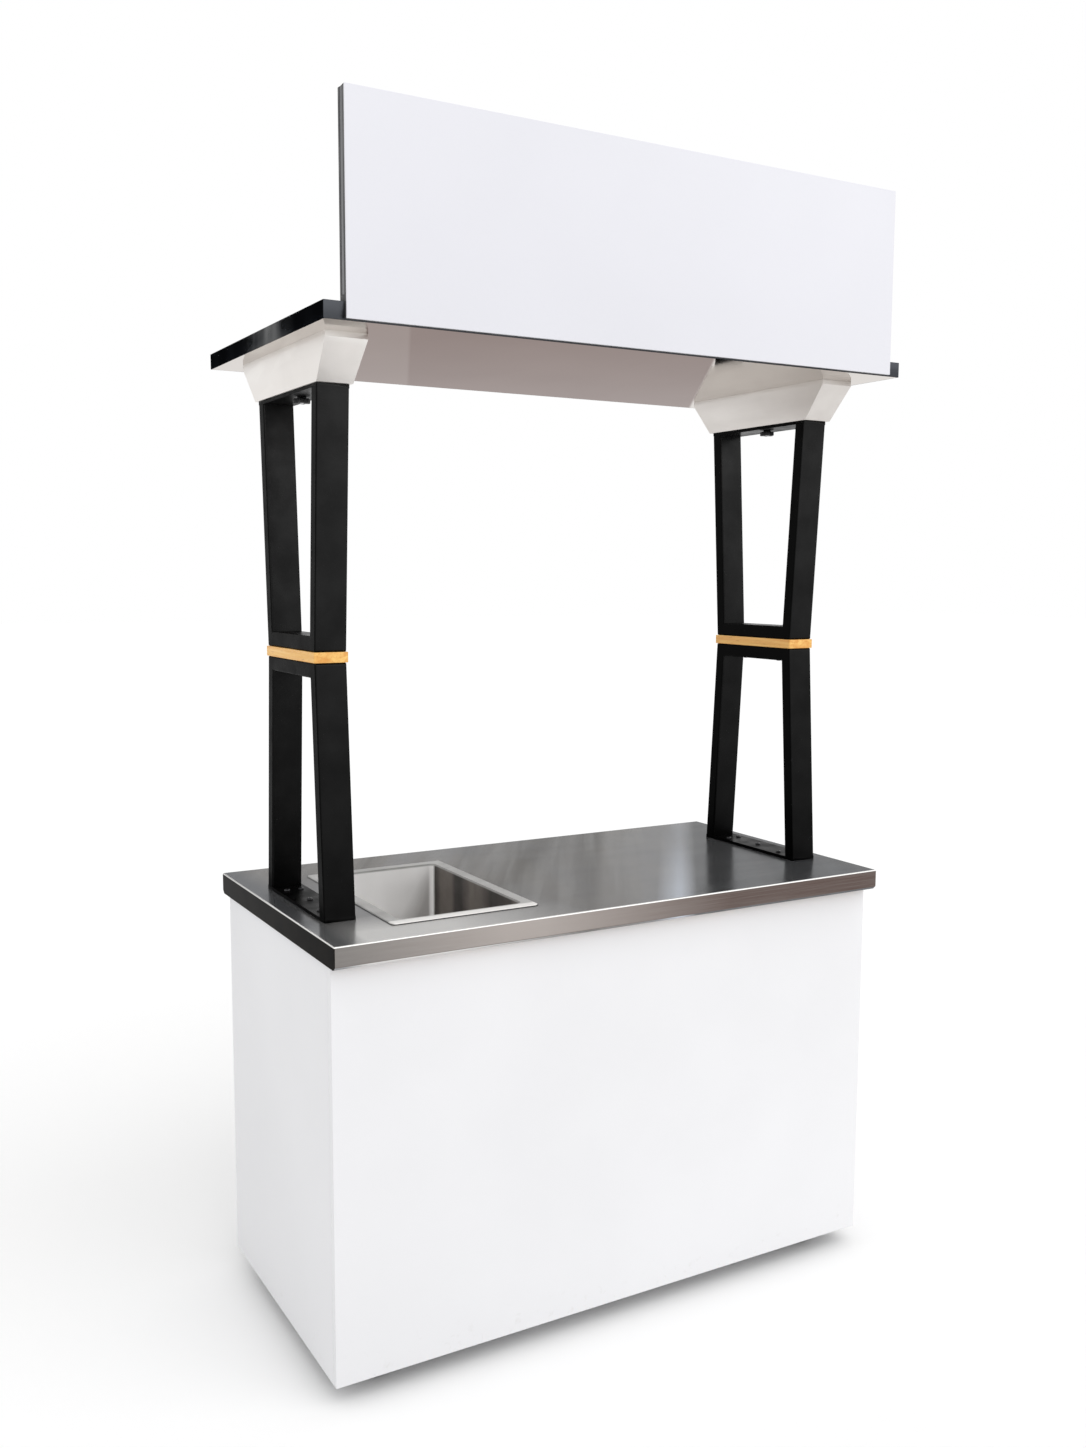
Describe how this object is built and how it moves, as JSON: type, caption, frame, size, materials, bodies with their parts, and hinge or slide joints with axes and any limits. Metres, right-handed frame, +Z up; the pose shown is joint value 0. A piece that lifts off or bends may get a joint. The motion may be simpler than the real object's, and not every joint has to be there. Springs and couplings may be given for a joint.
{
  "type": "mobile bar unit",
  "caption": "Wheeled bar counter: white cabinet with rear doors, steel worktop with drop-in sink, framed uprights carrying a canopy and a blank header sign.",
  "frame": {"origin": "on the floor, under the middle of the unit's outline", "axes": "+Z up, +X to the right seen from the customer side, -Y towards the customer side that the sign faces"},
  "size_m": [1.315, 0.7046, 2.37],
  "materials": {
    "white_panel": "white laminate on board",
    "worktop_steel": "brushed stainless sheet",
    "sink_steel": "satin stainless sheet",
    "capital_steel": "satin stainless sheet",
    "soffit_steel": "mirror-polished stainless sheet",
    "black_frame": "satin black powder coat",
    "chassis_paint": "matt black paint",
    "spacer_wood": "clear-lacquered beech",
    "core_wood": "plywood",
    "canopy_black": "black laminate on board",
    "edge_trim": "black edge band",
    "sign_white": "plain white sheet",
    "sign_black": "dark grey painted timber",
    "fastener_steel": "zinc plated",
    "fastener_black": "black oxide on steel",
    "caster_zinc": "zinc plated",
    "hinge_steel": "satin",
    "knob_metal": "satin",
    "grip_black": "moulded",
    "wheel_nylon": "moulded",
    "wheel_rubber": "moulded",
    "tank_white": "moulded"
  },
  "bodies": {
    "bar": {"cabinet_floor": "white_panel", "front_panel": "white_panel", "left_side_panel": "white_panel", "right_side_panel": "white_panel", "centre_divider": "white_panel", "rear_rail": "white_panel", "storage_shelf": "white_panel", "shelf_cleats": "white_panel", "worktop_sheet": "worktop_steel", "sink_bowl": "sink_steel", "sink_drain": "sink_steel", "left_capital": "capital_steel", "right_capital": "capital_steel", "canopy_soffit": "soffit_steel", "left_lower_frame": "black_frame", "right_lower_frame": "black_frame", "left_upper_frame": "black_frame", "right_upper_frame": "black_frame", "chassis_frame": "chassis_paint", "sign_back": "chassis_paint", "sign_brackets": "chassis_paint", "left_spacer": "spacer_wood", "right_spacer": "spacer_wood", "worktop_core": "core_wood", "canopy_board": "canopy_black", "canopy_trims": "edge_trim", "sign_face": "sign_white", "sign_frame": "sign_black", "canopy_bolts": "fastener_steel", "caster_bolts": "fastener_steel", "foot_bolts": "fastener_black", "spacer_bolts": "fastener_black", "caster_plates": "caster_zinc", "hinge_frame_leaves": "hinge_steel", "hinge_pins": "hinge_steel", "waste_tank": "tank_white", "drain_pipe": "tank_white"},
    "left_door_leaf": {"left_door": "white_panel", "left_door_leaves": "hinge_steel", "left_door_knob": "knob_metal"},
    "right_door_leaf": {"right_door": "white_panel", "right_door_leaves": "hinge_steel", "right_door_knob": "knob_metal"},
    "left_knob": {"left_clamp_knob": "grip_black"},
    "right_knob": {"right_clamp_knob": "grip_black"},
    "sink_strainer": {"strainer": "sink_steel"},
    "front_left_swivel": {"front_left_fork": "caster_zinc"},
    "front_left_wheel": {"front_left_hub": "wheel_nylon", "front_left_tyre": "wheel_rubber"},
    "front_right_swivel": {"front_right_fork": "caster_zinc"},
    "front_right_wheel": {"front_right_hub": "wheel_nylon", "front_right_tyre": "wheel_rubber"},
    "rear_left_swivel": {"rear_left_fork": "caster_zinc"},
    "rear_left_wheel": {"rear_left_hub": "wheel_nylon", "rear_left_tyre": "wheel_rubber"},
    "rear_left_brake": {"rear_left_pedal": "grip_black"},
    "rear_right_swivel": {"rear_right_fork": "caster_zinc"},
    "rear_right_wheel": {"rear_right_hub": "wheel_nylon", "rear_right_tyre": "wheel_rubber"},
    "rear_right_brake": {"rear_right_pedal": "grip_black"}
  },
  "joints": [
    {"name": "front_left_caster_swivel", "type": "hinge", "parent": "bar", "child": "front_left_swivel", "pos_m": [-0.539, -0.19775, 0.085], "axis": [0, 0, 1], "continuous": true},
    {"name": "front_left_wheel_spin", "type": "hinge", "parent": "front_left_swivel", "child": "front_left_wheel", "pos_m": [-0.539, -0.22575, 0.0375], "axis": [1, 0, 0], "continuous": true},
    {"name": "front_right_caster_swivel", "type": "hinge", "parent": "bar", "child": "front_right_swivel", "pos_m": [0.539, -0.19775, 0.085], "axis": [0, 0, 1], "continuous": true},
    {"name": "front_right_wheel_spin", "type": "hinge", "parent": "front_right_swivel", "child": "front_right_wheel", "pos_m": [0.539, -0.22575, 0.0375], "axis": [1, 0, 0], "continuous": true},
    {"name": "rear_left_caster_swivel", "type": "hinge", "parent": "bar", "child": "rear_left_swivel", "pos_m": [-0.539, 0.21425, 0.085], "axis": [0, 0, 1], "continuous": true},
    {"name": "rear_left_wheel_spin", "type": "hinge", "parent": "rear_left_swivel", "child": "rear_left_wheel", "pos_m": [-0.539, 0.24225, 0.0375], "axis": [1, 0, 0], "continuous": true},
    {"name": "rear_left_brake_press", "type": "hinge", "parent": "rear_left_swivel", "child": "rear_left_brake", "pos_m": [-0.539, 0.27085, 0.07159], "axis": [-1, 0, 0], "range_deg": [0, 10.5]},
    {"name": "rear_right_caster_swivel", "type": "hinge", "parent": "bar", "child": "rear_right_swivel", "pos_m": [0.539, 0.21425, 0.085], "axis": [0, 0, 1], "continuous": true},
    {"name": "rear_right_wheel_spin", "type": "hinge", "parent": "rear_right_swivel", "child": "rear_right_wheel", "pos_m": [0.539, 0.24225, 0.0375], "axis": [1, 0, 0], "continuous": true},
    {"name": "rear_right_brake_press", "type": "hinge", "parent": "rear_right_swivel", "child": "rear_right_brake", "pos_m": [0.539, 0.27085, 0.07159], "axis": [-1, 0, 0], "range_deg": [0, 10.5]},
    {"name": "left_door_swing", "type": "hinge", "parent": "bar", "child": "left_door_leaf", "pos_m": [-0.626, 0.32505, 0.48], "axis": [0, 0, 1], "range_deg": [0, 110]},
    {"name": "right_door_swing", "type": "hinge", "parent": "bar", "child": "right_door_leaf", "pos_m": [0.626, 0.32505, 0.48], "axis": [0, 0, -1], "range_deg": [0, 110]},
    {"name": "left_clamp_turn", "type": "hinge", "parent": "bar", "child": "left_knob", "pos_m": [-0.575, 0.00025, 1.905], "axis": [0, 0, 1], "continuous": true},
    {"name": "right_clamp_turn", "type": "hinge", "parent": "bar", "child": "right_knob", "pos_m": [0.575, 0.00025, 1.905], "axis": [0, 0, 1], "continuous": true},
    {"name": "strainer_lift", "type": "slide", "parent": "bar", "child": "sink_strainer", "axis": [0, 0, 1], "range_m": [0, 0.2]}
  ]
}
